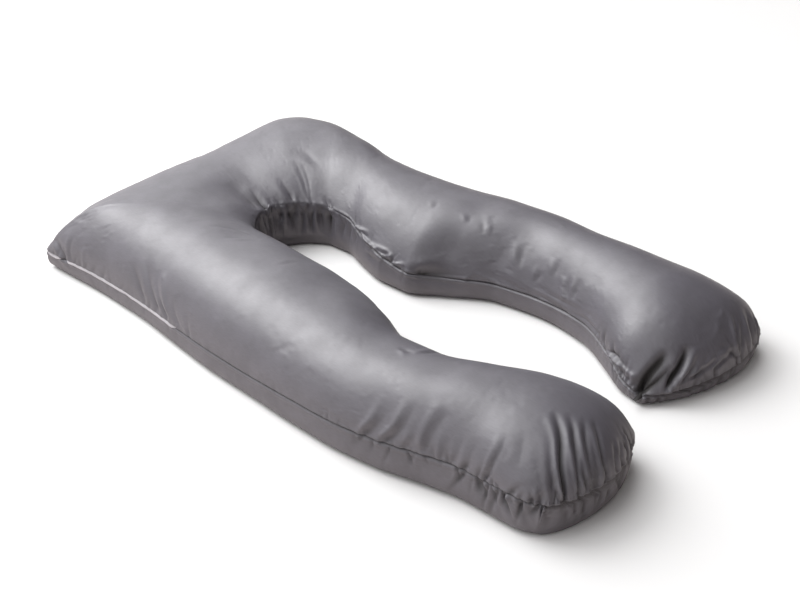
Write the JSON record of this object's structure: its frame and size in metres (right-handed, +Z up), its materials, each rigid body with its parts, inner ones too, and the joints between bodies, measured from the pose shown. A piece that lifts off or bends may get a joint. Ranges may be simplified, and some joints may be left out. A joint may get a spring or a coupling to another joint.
{
  "type": "body pillow",
  "caption": "U-shaped body pillow with two long arms, a square head and an arch between them, in a plain satin cover that lies flat.",
  "frame": {"origin": "on the floor under the middle of the pillow's box", "axes": "+Z up, +Y along the arms towards the closed head, +X across the arms, away from the arm with the zip"},
  "size_m": [0.8232, 1.3938, 0.1862],
  "materials": {
    "satin_cover": "satin weave, soft sheen",
    "satin_lip": "satin weave, folded edge"
  },
  "bodies": {
    "root": {"pillow_body": "satin_cover", "zip_placket": "satin_lip"}
  },
  "joints": []
}
